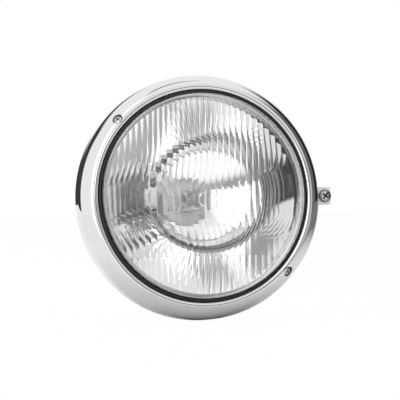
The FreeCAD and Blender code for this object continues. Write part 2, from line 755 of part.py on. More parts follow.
# Bulb: metal flange and sleeve, glass, filaments with their shield, base and blades.
sleeve_front = bulb_seat_depth - bulb_sleeve_length
flange_blank = lathe("flange_blank", [
    (0.0, bulb_seat_depth), (bulb_radius + fit_gap, bulb_seat_depth), (bulb_radius + fit_gap, sleeve_front),
    (bulb_sleeve_radius, sleeve_front), (bulb_sleeve_radius, bulb_seat_depth),
    (bulb_flange_radius, bulb_seat_depth), (bulb_flange_radius, flange_back), (0.0, flange_back)])
place(flange_blank)
lug_gaps = []
for index in range(bulb_lug_count):
    gap = slab("lug_gap_%d" % index,
               (bulb_flange_radius - bulb_lug_reach, bulb_flange_radius + bulb_lug_reach),
               (bulb_seat_depth - rim_depth - fit_gap, flange_back - rim_depth + fit_gap),
               (-bulb_lug_gap / 2.0, bulb_lug_gap / 2.0), False)
    turned_gap = group("turned_gap_%d" % index, gap)
    turn(turned_gap, V(0, 1, 0), bulb_lug_turn + 360.0 * index / bulb_lug_count)
    lug_gaps.append(turned_gap)
bulb_flange = cut("bulb_flange", flange_blank, *lug_gaps)
tip_depth = bulb_seat_depth - bulb_reach
inner_bulb = bulb_radius - bulb_glass_wall
shoulder_depth = tip_depth + bulb_radius
bulb_glass = lathe("bulb_glass", [
    (0.0, tip_depth), (bulb_radius, shoulder_depth, bulb_radius, 1), (bulb_radius, bulb_seat_depth),
    (inner_bulb, bulb_seat_depth), (inner_bulb, shoulder_depth),
    (0.0, tip_depth + bulb_glass_wall, inner_bulb, -1)])
place(bulb_glass)
half_filament = filament_length / 2.0
filament_parts = []
for index, centre in enumerate((focus_depth, focus_depth + filament_length + filament_spacing)):
    height = filament_spacing / 2.0 * index
    coil = rod_along_y("filament_%d" % index, filament_radius, filament_length,
                       0.0, centre - half_filament, -height)
    ends = []
    for side, depth in ((-1.0, centre - half_filament), (1.0, centre + half_filament)):
        foot = side * (shield_radius + support_wire * 2.0 + support_wire * 2.0 * index)
        near = depth - side * support_wire / 2.0
        ends.append(bent_wire("filament_lead_%d_%d" % (index, side > 0), [
            (0.0, near, -height), (foot, near, -height), (foot, bulb_seat_depth, -height)], support_wire))
    filament_parts.append(join("filament_set_%d" % index, coil, *ends))
bulb_filaments = group("bulb_filaments", *filament_parts)
shield_front = focus_depth - shield_length / 2.0
shield_back = focus_depth + shield_length / 2.0
shield_inner = shield_radius - shield_wall
bulb_shield_cup = lathe("bulb_shield_cup", [
    (shield_inner, shield_front), (shield_radius, shield_front), (shield_radius, shield_back),
    (shield_inner, shield_back)])
place(bulb_shield_cup)
shield_half = slab("shield_half", (-shield_radius, shield_radius), (shield_front, shield_back),
                   (-shield_radius * 2.0, -shield_radius / 2.0))
shield_post = slab("shield_post", (-shield_wall * 2.0, shield_wall * 2.0), (shield_front, bulb_seat_depth),
                   (-shield_radius - shield_wall, -shield_inner))
bulb_shield = join("bulb_shield", common("shield_trough", bulb_shield_cup, shield_half), shield_post)

insulator_back = flange_back + insulator_length
bulb_insulator = lathe("bulb_insulator", [
    (0.0, flange_back), (insulator_radius, flange_back),
    (insulator_radius, insulator_back - insulator_length / 3.0),
    (insulator_step, insulator_back - insulator_length / 4.0), (insulator_step, insulator_back),
    (0.0, insulator_back)])
place(bulb_insulator)
half_blade = blade_width / 2.0
half_sheet = blade_thickness / 2.0
blade_back = insulator_back + blade_length
blades = [slab("blade_top", (-half_blade, half_blade), (insulator_back, blade_back),
               (blade_offset - half_sheet, blade_offset + half_sheet))]
for side in (-1.0, 1.0):
    blades.append(slab("blade_%s" % ("left" if side < 0 else "right"),
                       (side * blade_offset - half_sheet, side * blade_offset + half_sheet),
                       (insulator_back, blade_back), (-half_blade, half_blade)))
bulb_terminals = group("bulb_terminals", *blades)

# Spring wire over the bulb's flange and the screw that pins its foot.
upper_arm = [(bulb_clip_foot, bulb_clip_end), (bulb_clip_waist, bulb_clip_elbow), (0.0, bulb_clip_waist),
             (-bulb_clip_waist, bulb_clip_elbow), (-bulb_clip_foot, bulb_clip_end)]
lower_arm = [(x, -z) for x, z in reversed(upper_arm)]
bulb_clip = bent_wire("bulb_clip", [(x, clip_plane, z) for x, z in upper_arm + lower_arm], bulb_clip_wire)
clip_head_depth = clip_plane + bulb_clip_wire + fit_gap / 3.0
clip_screw = lathe("clip_screw", [
    (0.0, 0.0), (clip_screw_radius, 0.0), (clip_screw_radius, clip_screw_length),
    (clip_screw_head, clip_screw_length), (clip_screw_head, clip_screw_length + clip_screw_height),
    (0.0, clip_screw_length + clip_screw_height)])
place(clip_screw, clip_screw_x, clip_head_depth - clip_screw_length)

# Rubber boot over the collar and the bulb's base.
boot_inner = collar_radius + fit_gap
boot_outer = boot_inner + boot_wall
boot_front = bulb_seat_depth - boot_grip
boot_bend = collar_end + fit_gap
mouth_inner = insulator_step + fit_gap
mouth_outer = mouth_inner + boot_wall
boot_end = insulator_back - fit_gap
bead_back = boot_front + boot_bead * 2.0
dust_boot = lathe("dust_boot", [
    (boot_inner, boot_front), (boot_outer, boot_front),
    (boot_outer + boot_bead, boot_front + boot_bead / 2.0),
    (boot_outer + boot_bead, bead_back - boot_bead / 2.0), (boot_outer, bead_back), (boot_outer, boot_bend),
    (mouth_outer, boot_bend + boot_taper), (mouth_outer, boot_end), (mouth_inner, boot_end),
    (mouth_inner, boot_bend + boot_taper), (boot_inner, boot_bend)])
place(dust_boot)

# Check every piece and write it.
pieces = [rim, rim_screws, frame_ring, fixing_screw, fixing_retainer, lens_gasket, lens, lens_seal, reflector,
          retaining_clips, bulb_collar, bulb_flange, bulb_glass, bulb_filaments, bulb_shield, bulb_insulator,
          bulb_terminals, bulb_clip, clip_screw, dust_boot]
doc.recompute()
for item in doc.Objects:
    if "Invalid" in item.State or "Error" in item.State:
        raise RuntimeError("%s did not build" % item.Label)
for piece in pieces:
    if piece.Shape.isNull() or not piece.Shape.isValid():
        raise RuntimeError("%s has no sound shape" % piece.Label)
    piece.Shape.exportStep("parts/%s.step" % piece.Label)
    print(piece.Label, len(piece.Shape.Solids), round(piece.Shape.Volume, 1))
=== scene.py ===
import math

import bmesh
import bpy
from mathutils import Matrix, Vector


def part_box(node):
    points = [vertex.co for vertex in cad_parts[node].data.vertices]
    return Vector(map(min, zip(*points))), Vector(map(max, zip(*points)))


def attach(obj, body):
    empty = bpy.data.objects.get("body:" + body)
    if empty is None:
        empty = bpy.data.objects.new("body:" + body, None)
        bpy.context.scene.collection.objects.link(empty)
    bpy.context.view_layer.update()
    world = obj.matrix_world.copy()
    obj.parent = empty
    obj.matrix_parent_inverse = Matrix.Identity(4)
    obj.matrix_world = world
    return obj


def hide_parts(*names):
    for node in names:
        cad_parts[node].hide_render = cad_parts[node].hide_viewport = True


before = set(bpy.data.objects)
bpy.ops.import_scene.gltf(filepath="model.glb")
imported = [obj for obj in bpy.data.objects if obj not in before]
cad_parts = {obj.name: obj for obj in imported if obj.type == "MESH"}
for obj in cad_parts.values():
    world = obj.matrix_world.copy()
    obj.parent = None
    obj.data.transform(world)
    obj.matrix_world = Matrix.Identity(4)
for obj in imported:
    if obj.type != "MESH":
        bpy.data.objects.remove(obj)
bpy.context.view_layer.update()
scene = bpy.context.scene
MM = 0.001

# Sizes in millimetres, taken from the frame. Depths run back from the rim's front.
rim_low, rim_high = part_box("rim")
lens_low, lens_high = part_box("lens")
seat_low, seat_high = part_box("bulb_flange")
tip_low, tip_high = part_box("bulb_glass")
coil_low, coil_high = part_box("bulb_filaments")
fix_low, fix_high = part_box("fixing_screw")
RIM_FRONT = rim_low[1] / MM
RIM_DEPTH = (rim_high[1] - rim_low[1]) / MM
RIM_RADIUS = rim_high[0] / MM
RIM_WIDTH = 13.0
OPENING_RADIUS = RIM_RADIUS - RIM_WIDTH
RIM_WALL = 1.2
LIP_RADIUS = 2.5
LIP_DEPTH = 2.8
NOSE_RADIUS = 6.0
WIDEST_DEPTH = 18.0
SCREW_ANGLE = 137.5
SCREW_TILT = 40.0
SCREW_SEAT_ANGLE = 47.0
SEAT_RADIUS = 4.1
SEAT_SINK = 1.4
SEAT_CONE = 3.4
SEAT_HOLE = 2.3
SEAT_FLOOR = 2.5
BOSS_RADIUS = 5.2
BOSS_COVER = 0.4
BOSS_DEPTH = 3.4
CUTTER_REACH = 6.0
SEAT_THROUGH = 8.0
RECESS_DEPTH = 2.5
RIM_RECESS_RADIUS = 1.9
RIM_RECESS_EDGE = 0.3
FIXING_RECESS_RADIUS = 3.4
FIXING_RECESS_EDGE = 0.6
FIXING_HEAD_EDGE = 3.8

NECK_GAP = 2.5
LENS_NECK = OPENING_RADIUS - NECK_GAP
LENS_WALL = 4.0
LENS_PROUD = 2.5
LENS_EDGE = 1.5
DOME_RADIUS = 260.0
FLANGE_RADIUS = lens_high[0] / MM
LENS_BACK = lens_high[1] / MM - RIM_FRONT
FLANGE_THICKNESS = 4.0
FLANGE_FRONT = LENS_BACK - FLANGE_THICKNESS
FLUTE_PITCH = 4.5
FLUTE_RADIUS = 15.0
SHALLOW_RADIUS = 42.0
FLUTE_STEPS = 10
UPPER_BOTTOM = -12.0
SIDE_BOTTOM = 10.0
SIDE_START = 13.5
SIDE_END = 40.5
SECTOR_TOP = 14.0
SECTOR_BOTTOM = -6.0
SECTOR_SLOPE = math.tan(math.radians(20))
LOWER_TOP = -46.0
ROW_STEP = 1.25
ROW_GAP = 0.5
BORDER_WIDTH = 0.12
GRID_OVERLAP = 0.3

FOCUS = 28.0
BOWL_LEDGE = 5.0
BOWL_RADIUS = FLANGE_RADIUS - BOWL_LEDGE
SEAL_GAP = 1.0
BOWL_FRONT = LENS_BACK + SEAL_GAP
BOWL_HOLE = 19.0
BOWL_BACK = 1.6
BOWL_FLANGE = 1.0
VERTEX_DEPTH = BOWL_FRONT + BOWL_RADIUS ** 2 / (4 * FOCUS)

BULB_RADIUS = 8.5
BULB_WALL = 1.0
BULB_BORE = BULB_RADIUS - BULB_WALL
BULB_FLANGE_DEPTH = 1.5
BULB_SEAT = seat_high[1] / MM - RIM_FRONT - BULB_FLANGE_DEPTH
BULB_TIP = tip_low[1] / MM - RIM_FRONT
COIL_LENGTH = 5.0
COIL_SPACING = 3.5
COIL_RADIUS = 0.55
COIL_TURNS = 9
COIL_STEPS = 12
COIL_WIRE = 0.12
LEAD_WIRE = 0.2
LEAD_INSET = 0.6

# Fineness of the meshes.
SHARP_ANGLE = math.radians(35)
SOLID_SHARP_ANGLE = math.radians(30)
LENS_SHARP_ANGLE = math.radians(2.5)
WELD = 1e-7
RIM_SEGMENTS = 384
LENS_SEGMENTS = 256
BULB_SEGMENTS = 96
SCREW_SEGMENTS = 64


# Materials.
def node(tree, kind, **settings):
    made = tree.nodes.new(kind)
    for name, value in settings.items():
        setattr(made, name, value)
    return made


def calculate(tree, operation, *values):
    made = node(tree, "ShaderNodeMath", operation=operation)
    for slot, value in enumerate(values):
        if isinstance(value, float):
            made.inputs[slot].default_value = value
        else:
            tree.links.new(value, made.inputs[slot])
    return made.outputs["Value"]


def ramp(tree, value, start, end, first=0.0, last=1.0):
    """A smooth change from first to last while a value goes from start to end."""
    made = node(tree, "ShaderNodeMapRange", interpolation_type="SMOOTHSTEP")
    for name, size in (("From Min", start), ("From Max", end), ("To Min", first), ("To Max", last)):
        if isinstance(size, float):
            made.inputs[name].default_value = size
        else:
            tree.links.new(size, made.inputs[name])
    tree.links.new(value, made.inputs["Value"])
    return made.outputs["Result"]


def smudge_group():
    """Soft cloudy marks on a surface, as a roughness."""
    tree = bpy.data.node_groups.new("smudges", "ShaderNodeTree")
    for name in ("Roughness", "Amount", "Scale"):
        tree.interface.new_socket(name, in_out="INPUT", socket_type="NodeSocketFloat")
    tree.interface.new_socket("Roughness", in_out="OUTPUT", socket_type="NodeSocketFloat")
    entry = node(tree, "NodeGroupInput")
    leave = node(tree, "NodeGroupOutput")
    place = node(tree, "ShaderNodeTexCoord")
    cloud = node(tree, "ShaderNodeTexNoise")
    cloud.inputs["Detail"].default_value = 3.0
    spread = node(tree, "ShaderNodeMapRange")
    spread.inputs["From Min"].default_value = 0.45
    spread.inputs["From Max"].default_value = 0.75
    tree.links.new(place.outputs["Object"], cloud.inputs["Vector"])
    tree.links.new(entry.outputs["Scale"], cloud.inputs["Scale"])
    tree.links.new(cloud.outputs["Fac"], spread.inputs["Value"])
    rougher = calculate(tree, "MULTIPLY_ADD", spread.outputs["Result"], entry.outputs["Amount"],
                        entry.outputs["Roughness"])
    tree.links.new(rougher, leave.inputs["Roughness"])
    return tree


SMUDGES = smudge_group()


def material(name, color, metallic=0.0, roughness=0.4, smudge=0.05, scale=60.0, transmission=0.0, ior=1.5):
    made = bpy.data.materials.new(name)
    made.use_nodes = True
    tree = made.node_tree
    shader = tree.nodes["Principled BSDF"]
    shader.inputs["Base Color"].default_value = (*color, 1.0)
    shader.inputs["Metallic"].default_value = metallic
    shader.inputs["IOR"].default_value = ior
    shader.inputs["Transmission Weight"].default_value = transmission
    if smudge:
        marks = node(tree, "ShaderNodeGroup", node_tree=SMUDGES)
        marks.inputs["Roughness"].default_value = roughness
        marks.inputs["Amount"].default_value = smudge
        marks.inputs["Scale"].default_value = scale
        tree.links.new(marks.outputs["Roughness"], shader.inputs["Roughness"])
    else:
        shader.inputs["Roughness"].default_value = roughness
    return made


chrome = material("polished_chrome", (0.80, 0.80, 0.81), 1.0, 0.03, 0.03, 40.0)
# Painted shade: a dark copy of the chrome for the walls and floor of the screw seats, where shade falls.
painted_shade_seat_chrome = material("painted_shade_seat_chrome", (0.16, 0.16, 0.165), 1.0, 0.3, 0.1)
screw_steel = material("plated_screw_steel", (0.60, 0.60, 0.60), 1.0, 0.16, 0.1)
zinc = material("bright_zinc", (0.93, 0.93, 0.93), 1.0, 0.5, 0.05)
spring_steel = material("spring_steel", (0.50, 0.50, 0.51), 1.0, 0.3, 0.1)
clear_glass = material("clear_glass", (0.99, 0.997, 0.995), 0.0, 0.0, 0.0, transmission=1.0, ior=1.5)
silvered_edge = material("silvered_glass_edge", (0.86, 0.86, 0.86), 1.0, 0.2, 0.05)
bulb_clear = material("bulb_glass", (0.98, 0.98, 0.98), 0.0, 0.0, 0.0, transmission=1.0, ior=1.47)
mirror = material("mirror_coating", (0.94, 0.94, 0.94), 1.0, 0.02, 0.02, 25.0)
bowl_lacquer = material("bowl_back_lacquer", (0.42, 0.43, 0.44), 0.4, 0.45, 0.15)
black_rubber = material("black_rubber", (0.018, 0.018, 0.018), 0.0, 0.55, 0.15)
grey_rubber = material("seal_rubber", (0.2, 0.2, 0.2), 0.0, 0.6, 0.1)
nylon = material("natural_nylon", (0.8, 0.79, 0.74), 0.0, 0.4, 0.1)
base_plastic = material("base_plastic", (0.03, 0.03, 0.03), 0.0, 0.4, 0.1)
brass = material("terminal_brass", (0.75, 0.6, 0.3), 1.0, 0.25, 0.15)
nickel = material("bulb_nickel", (0.95, 0.95, 0.94), 1.0, 0.45, 0.1)
shield_metal = material("shield_metal", (0.9, 0.9, 0.9), 1.0, 0.12, 0.05)
tungsten = material("filament_metal", (0.6, 0.6, 0.6), 1.0, 0.25, 0.1)
# Painted shade and painted reflection: a dark steel for the rounded edge of the fixing screw's head.
painted_shade_edge_steel = material("screw_edge_painted_shade", (0.13, 0.13, 0.13), 1.0, 0.3, 0.1)
recess_shade = material("recess_shade", (0.03, 0.03, 0.03), 0.0, 0.6, 0.1)


# Shapes.
def at_depth(radius, turn, depth):
    return Vector((radius * math.cos(turn), RIM_FRONT + depth, radius * math.sin(turn))) * MM


def arc(x, y, radius, start, end, steps):
    """Points on a circle about (x, y), angles in degrees."""
    angles = [math.radians(start + (end - start) * k / steps) for k in range(steps + 1)]
    return [(x + radius * math.cos(a), y + radius * math.sin(a)) for a in angles]


def finish_mesh(name, bm, materials):
    bmesh.ops.remove_doubles(bm, verts=bm.verts, dist=WELD)
    bmesh.ops.recalc_face_normals(bm, faces=bm.faces)
    return mesh_piece(name, bm, materials, SHARP_ANGLE)


def mesh_piece(name, bm, materials, sharp):
    mesh = bpy.data.meshes.new(name)
    bm.to_mesh(mesh)
    bm.free()
    for face in mesh.polygons:
        face.use_smooth = True
    mesh.set_sharp_from_angle(angle=sharp)
    for item in materials:
        mesh.materials.append(item)
    made = bpy.data.objects.new(name, mesh)
    scene.collection.objects.link(made)
    return made


def lathe_into(bm, section, segments, slot_of=None, closed=True):
    """Rings about the lamp's axis from pairs of radius and depth, joined by faces."""
    rings = []
    turns = [2 * math.pi * k / segments for k in range(segments)]
    for radius, depth in section:
        if radius < WELD:
            rings.append([bm.verts.new(at_depth(0.0, 0.0, depth))] * segments)
        else:
            rings.append([bm.verts.new(at_depth(radius, turn, depth)) for turn in turns])
    count = len(rings) if closed else len(rings) - 1
    for row in range(count):
        lower, upper = rings[row], rings[(row + 1) % len(rings)]
        for k in range(segments):
            corners = []
            for corner in (lower[k], lower[(k + 1) % segments], upper[(k + 1) % segments], upper[k]):
                if corner not in corners:
                    corners.append(corner)
            if len(corners) > 2:
                face = bm.faces.new(corners)
                face.material_index = slot_of(row) if slot_of else 0


def lathe(name, section, materials, segments, slot_of=None):
    """A closed ring or shell turned about the lamp's axis from pairs of radius and depth."""
    bm = bmesh.new()
    lathe_into(bm, section, segments, slot_of)
    return finish_mesh(name, bm, materials)


def settle(piece, slot, *nodes):
    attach(piece, "root")
    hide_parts(*nodes)


def dress(name, finish):
    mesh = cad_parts[name].data
    mesh.materials.clear()
    mesh.materials.append(finish)
    for face in mesh.polygons:
        face.use_smooth = True
    mesh.set_sharp_from_angle(angle=SOLID_SHARP_ANGLE)


# Rim.
def shoulder_arc():
    """Centre and radius of the arc from the nose to the skirt."""
    width = RIM_RADIUS - OPENING_RADIUS - LIP_RADIUS
    radius = (width ** 2 + WIDEST_DEPTH ** 2 - 2 * WIDEST_DEPTH * NOSE_RADIUS) / (2 * (width - NOSE_RADIUS))
    return RIM_RADIUS - radius, radius


def nose_band(inset):
    """The rim's section from its nose to its widest place at a distance inside its outer face."""
    nose_x = OPENING_RADIUS + LIP_RADIUS
    shoulder_x, shoulder = shoulder_arc()
    bend = math.degrees(math.atan2(WIDEST_DEPTH - NOSE_RADIUS, nose_x - shoulder_x))
    points = arc(nose_x, NOSE_RADIUS, NOSE_RADIUS - inset, -90, -bend, 14)
    return points + arc(shoulder_x, WIDEST_DEPTH, shoulder - inset, -bend, 0, 20)[1:]


def rim_face(inset):
    """The rim's section from lip to skirt at a distance inside its outer face."""
    lip = arc(OPENING_RADIUS + LIP_RADIUS, LIP_RADIUS, LIP_RADIUS - inset, 180, 270, 8)[:-1]
    front = [(OPENING_RADIUS + inset, LIP_DEPTH)] + lip
    return front + nose_band(inset) + [(RIM_RADIUS - inset, RIM_DEPTH)]


def screw_frame(angle):
    """Frame of a face screw: its axis runs into the rim, its origin lies on the rim's nose."""
    seat = math.radians(SCREW_SEAT_ANGLE)
    tilt = math.radians(SCREW_TILT)
    turn = math.radians(angle)
    face = OPENING_RADIUS + LIP_RADIUS + NOSE_RADIUS * math.sin(seat)
    depth = NOSE_RADIUS * (1 - math.cos(seat))
    inward = Vector((-math.sin(tilt) * math.cos(turn), math.cos(tilt), -math.sin(tilt) * math.sin(turn)))
    turned = Vector((0, 0, 1)).rotation_difference(inward).to_matrix().to_4x4()
    return Matrix.Translation(at_depth(face, turn, depth)) @ turned


def about_screw(name, angle, section, finish):
    """A solid turned about a face screw's axis from pairs of radius and depth."""
    bm = bmesh.new()
    rings = []
    turns = [2 * math.pi * k / SCREW_SEGMENTS for k in range(SCREW_SEGMENTS)]
    for radius, depth in section:
        spots = [Vector((radius * math.cos(turn), radius * math.sin(turn), depth)) * MM for turn in turns]
        rings.append([bm.verts.new(spot) for spot in spots])
    for lower, upper in zip(rings, rings[1:]):
        for k in range(SCREW_SEGMENTS):
            after = (k + 1) % SCREW_SEGMENTS
            bm.faces.new((lower[k], lower[after], upper[after], upper[k]))
    bm.faces.new(rings[0])
    bm.faces.new(rings[-1])
    made = finish_mesh(name, bm, [finish])
    made.matrix_world = screw_frame(angle)
    return made


def combine(piece, other, operation):
    change = piece.modifiers.new(other.name, "BOOLEAN")
    change.operation = operation
    change.material_mode = "TRANSFER"
    change.object = other
    bpy.context.view_layer.objects.active = piece
    bpy.context.view_layer.update()
    bpy.ops.object.modifier_apply(modifier=change.name)
    bpy.data.objects.remove(other)


boss_section = [(BOSS_RADIUS, -CUTTER_REACH), (BOSS_RADIUS, CUTTER_REACH)]
seat_section = [(SEAT_RADIUS, -CUTTER_REACH), (SEAT_RADIUS, SEAT_SINK), (SEAT_CONE, SEAT_SINK),
                (SEAT_HOLE, SEAT_FLOOR), (SEAT_HOLE, SEAT_THROUGH)]
rim = lathe("rim_polished", rim_face(0.0) + rim_face(RIM_WALL)[::-1], [chrome], RIM_SEGMENTS)
for angle in (SCREW_ANGLE, SCREW_ANGLE - 180):
    boss = lathe("boss", nose_band(BOSS_COVER) + nose_band(BOSS_DEPTH)[::-1], [chrome], RIM_SEGMENTS)
    combine(boss, about_screw("boss_edge", angle, boss_section, chrome), "INTERSECT")
    combine(rim, boss, "UNION")
    # The cutter carries the dark seat chrome onto the cut seat walls as painted shade.
    combine(rim, about_screw("seat", angle, seat_section, painted_shade_seat_chrome), "DIFFERENCE")
rim.data.set_sharp_from_angle(angle=SHARP_ANGLE)
settle(rim, "chrome", "rim")


# Lens.
DOME_EDGE = LENS_NECK - LENS_EDGE
DOME_CENTRE = math.sqrt(DOME_RADIUS ** 2 - DOME_EDGE ** 2) - LENS_PROUD
INNER_DOME = DOME_RADIUS - LENS_WALL
INNER_NECK = LENS_NECK - LENS_WALL
GRID_EDGE = INNER_NECK + GRID_OVERLAP


def dome_depth(radius_squared, reach):
    return DOME_CENTRE - math.sqrt(reach ** 2 - radius_squared)


def flute(across, radius):
    """Height of a flute at a place across it, from the valley up."""
    offset = ((across / FLUTE_PITCH + 0.5) % 1.0 - 0.5) * FLUTE_PITCH
    return math.sqrt(radius ** 2 - offset ** 2) - math.sqrt(radius ** 2 - FLUTE_PITCH ** 2 / 4)


def field_height(x, z):
    """How far the pattern stands up from the inner face of the glass."""
    if x < SIDE_START:
        limit = UPPER_BOTTOM
    elif x < SIDE_END:
        limit = SIDE_BOTTOM
    else:
        limit = SECTOR_TOP + (x - SIDE_END) * SECTOR_SLOPE
    if z > limit or z < LOWER_TOP:
        return flute(x, FLUTE_RADIUS)
    if x > SIDE_END and z > SECTOR_BOTTOM - (x - SIDE_END) * SECTOR_SLOPE:
        return flute(math.hypot(x, z), SHALLOW_RADIUS)
    return flute(x, SHALLOW_RADIUS)


def behind_middle(face):
    """Whether a face lies on the inner side of the glass."""
    spot = face.calc_center_median() / MM
    return spot.y > RIM_FRONT + dome_depth(spot.x ** 2 + spot.z ** 2, DOME_RADIUS - LENS_WALL / 2)


def lens_columns():
    count = int(2 * INNER_NECK / FLUTE_PITCH)
    edge = count * FLUTE_PITCH / 2
    inside = [-edge + FLUTE_PITCH * k / FLUTE_STEPS for k in range(count * FLUTE_STEPS + 1)]
    return [-GRID_EDGE] + inside + [GRID_EDGE]


def lens_rows():
    borders = [UPPER_BOTTOM, SIDE_BOTTOM, LOWER_TOP]
    rows = [-GRID_EDGE + k * ROW_STEP for k in range(int(2 * GRID_EDGE / ROW_STEP) + 2)]
    rows = [z for z in rows if all(abs(z - border) > ROW_GAP for border in borders)]
    for border in borders:
        rows += [border - BORDER_WIDTH / 2, border + BORDER_WIDTH / 2]
    return sorted(rows)


bm = bmesh.new()
outer = [(0.0, DOME_CENTRE - DOME_RADIUS)]
slope = math.degrees(math.asin(DOME_EDGE / DOME_RADIUS))
outer += arc(0.0, DOME_CENTRE, DOME_RADIUS, -90 + slope / 40, -90 + slope, 39)
outer += arc(DOME_EDGE, LENS_EDGE - LENS_PROUD, LENS_EDGE, -90 + slope, 0, 8)[1:]
outer += [(LENS_NECK, FLANGE_FRONT), (FLANGE_RADIUS, FLANGE_FRONT), (FLANGE_RADIUS, LENS_BACK),
          (INNER_NECK, LENS_BACK), (INNER_NECK, dome_depth(INNER_NECK ** 2, INNER_DOME))]
neck_row = len(outer) - 6
lathe_into(bm, outer, LENS_SEGMENTS, lambda row: 1 if neck_row <= row < neck_row + 4 else 0, closed=False)
columns = []
for x in lens_columns():
    reach = math.sqrt(max(GRID_EDGE ** 2 - x ** 2, 0.0))
    column = []
    for z in lens_rows():
        z = min(max(z, -reach), reach)
        depth = dome_depth(x * x + z * z, INNER_DOME) + field_height(x, z)
        column.append(bm.verts.new(Vector((x, RIM_FRONT + depth, z)) * MM))
    columns.append(column)
for left, right in zip(columns, columns[1:]):
    for k in range(len(left) - 1):
        bm.faces.new((left[k], right[k], right[k + 1], left[k + 1]))
bmesh.ops.dissolve_degenerate(bm, edges=bm.edges, dist=WELD)
bmesh.ops.remove_doubles(bm, verts=bm.verts, dist=WELD)
bmesh.ops.recalc_face_normals(bm, faces=bm.faces)
inner_faces = [face for face in bm.faces if face.normal.y < -0.5 and behind_middle(face)]
bmesh.ops.reverse_faces(bm, faces=inner_faces)
lens = mesh_piece("lens_fluted", bm, [clear_glass, silvered_edge], LENS_SHARP_ANGLE)
settle(lens, "lens_glass", "lens")


# Reflector.
def bowl(radius, shift=0.0):
    return VERTEX_DEPTH + shift - radius ** 2 / (4 * FOCUS)


def bowl_points(end, shift, steps):
    radii = [BOWL_HOLE + (end - BOWL_HOLE) * k / steps for k in range(steps + 1)]
    return [(radius, bowl(radius, shift)) for radius in radii]


back_edge = math.sqrt(4 * FOCUS * (VERTEX_DEPTH + BOWL_BACK - BOWL_FRONT - BOWL_FLANGE))
inside = bowl_points(BOWL_RADIUS, 0.0, 64) + [(FLANGE_RADIUS, BOWL_FRONT)]
outside = [(FLANGE_RADIUS, BOWL_FRONT + BOWL_FLANGE)] + bowl_points(back_edge, BOWL_BACK, 48)[::-1]
reflector = lathe("reflector_bowl", inside + outside, [mirror, bowl_lacquer], LENS_SEGMENTS,
                  lambda row: 0 if row < len(inside) - 1 else 1)
settle(reflector, "mirror", "reflector")

# Bulb.
tip = arc(0.0, BULB_TIP + BULB_RADIUS, BULB_RADIUS, -90, 0, 16)
hollow = arc(0.0, BULB_TIP + BULB_RADIUS, BULB_BORE, -90, 0, 16)
bulb = lathe("bulb_tube", tip + [(BULB_RADIUS, BULB_SEAT), (BULB_BORE, BULB_SEAT)] + hollow[::-1],
             [bulb_clear], BULB_SEGMENTS)
settle(bulb, "bulb_glass", "bulb_glass")


def wires(name, lines, finish):
    """Round wires along lines of points, each with the wire's radius."""
    curve = bpy.data.curves.new(name, "CURVE")
    curve.dimensions = "3D"
    curve.bevel_depth = MM
    curve.bevel_resolution = 2
    for radius, points in lines:
        spline = curve.splines.new("POLY")
        spline.points.add(len(points) - 1)
        for spot, place in zip(spline.points, points):
            spot.co = (*(Vector(place) * MM), 1.0)
            spot.radius = radius
    drawn = bpy.data.objects.new(name, curve)
    mesh = bpy.data.meshes.new_from_object(drawn)
    bpy.data.objects.remove(drawn)
    mesh.materials.clear()
    mesh.materials.append(finish)
    made = bpy.data.objects.new(name, mesh)
    scene.collection.objects.link(made)
    return made


lines = []
for index in range(2):
    centre = RIM_FRONT + VERTEX_DEPTH - FOCUS + (COIL_LENGTH + COIL_SPACING) * index
    height = -COIL_SPACING / 2 * index
    foot = coil_high[0] / MM - LEAD_INSET * (2 - index)
    count = COIL_TURNS * COIL_STEPS
    coil = []
    for k in range(count + 1):
        turn = 2 * math.pi * k / COIL_STEPS
        along = centre + COIL_LENGTH * (k / count - 0.5)
        coil.append((COIL_RADIUS * math.cos(turn), along, height + COIL_RADIUS * math.sin(turn)))
    lines.append((COIL_WIRE, coil))
    for side, end in ((-1, coil[0]), (1, coil[-1])):
        elbow = (side * foot, end[1], height)
        lines.append((LEAD_WIRE, [end, elbow, (side * foot, coil_high[1] / MM, height)]))
settle(wires("bulb_filament_coils", lines, tungsten), "filament_metal", "bulb_filaments")


# Pieces that keep their own solids.
for name, finish in (("rim_screws", screw_steel), ("frame_ring", zinc), ("fixing_screw", screw_steel),
                     ("fixing_retainer", nylon), ("lens_gasket", black_rubber), ("lens_seal", grey_rubber),
                     ("retaining_clips", spring_steel), ("bulb_collar", zinc), ("bulb_flange", nickel),
                     ("bulb_shield", shield_metal), ("bulb_insulator", base_plastic),
                     ("bulb_terminals", brass), ("bulb_clip", spring_steel), ("clip_screw", screw_steel),
                     ("dust_boot", black_rubber)):
    dress(name, finish)


def shade_recess(name, to_screw, reach, edge):
    """Gives the faces of a cross recess a shadowed finish; the screw's axis is z in its own frame."""
    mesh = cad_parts[name].data
    if len(mesh.materials) < 2:
        mesh.materials.append(recess_shade)
    near = [face for face in mesh.polygons if (to_screw @ face.center).xy.length < reach * MM]
    top = min((to_screw @ mesh.vertices[k].co).z for face in near for k in face.vertices)
    for face in near:
        spot = to_screw @ face.center
        if top + edge * MM < spot.z < top + RECESS_DEPTH * MM:
            face.material_index = 1


for angle in (SCREW_ANGLE, SCREW_ANGLE - 180):
    shade_recess("rim_screws", screw_frame(angle).inverted(), RIM_RECESS_RADIUS, RIM_RECESS_EDGE)
fixing_place = Matrix.Translation(((fix_low[0] + fix_high[0]) / 2, fix_low[1], 0))
to_fixing = (fixing_place @ Matrix.Rotation(-math.pi / 2, 4, "X")).inverted()
shade_recess("fixing_screw", to_fixing, FIXING_RECESS_RADIUS, FIXING_RECESS_EDGE)
# Painted shade and painted reflection: faces of the fixing screw's head beyond its edge radius get the dark
# edge steel.
fixing_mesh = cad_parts["fixing_screw"].data
fixing_mesh.materials.append(painted_shade_edge_steel)
for face in fixing_mesh.polygons:
    if (to_fixing @ face.center).xy.length > FIXING_HEAD_EDGE * MM:
        face.material_index = 2

